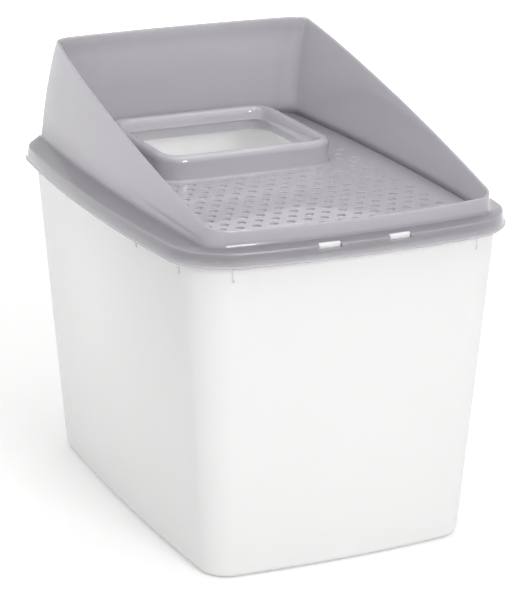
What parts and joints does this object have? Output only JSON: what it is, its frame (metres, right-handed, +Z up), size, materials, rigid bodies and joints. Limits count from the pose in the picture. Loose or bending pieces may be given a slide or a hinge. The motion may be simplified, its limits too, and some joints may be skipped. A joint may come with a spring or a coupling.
{
  "type": "top entry litter box",
  "caption": "Tapered pet litter bin with a lift-out strainer tray, a raised entry collar and a lift-off sloping hood.",
  "frame": {"origin": "on the floor under the middle of the box", "axes": "+Z up, -Y towards the low front of the hood, +X to the right seen from the front"},
  "size_m": [0.419, 0.5602, 0.5105],
  "materials": {
    "bin_plastic": "satin translucent white polypropylene",
    "lid_plastic": "glossy warm grey polypropylene"
  },
  "bodies": {
    "bin": {"bin": "bin_plastic"},
    "tray": {"strainer_tray": "lid_plastic"},
    "hood": {"hood": "lid_plastic"}
  },
  "joints": [
    {"name": "tray_lift", "type": "slide", "parent": "bin", "child": "tray", "axis": [0, 0, 1], "range_m": [0, 0.15]},
    {"name": "hood_lift", "type": "slide", "parent": "tray", "child": "hood", "axis": [0, 0, 1], "range_m": [0, 0.15]}
  ]
}
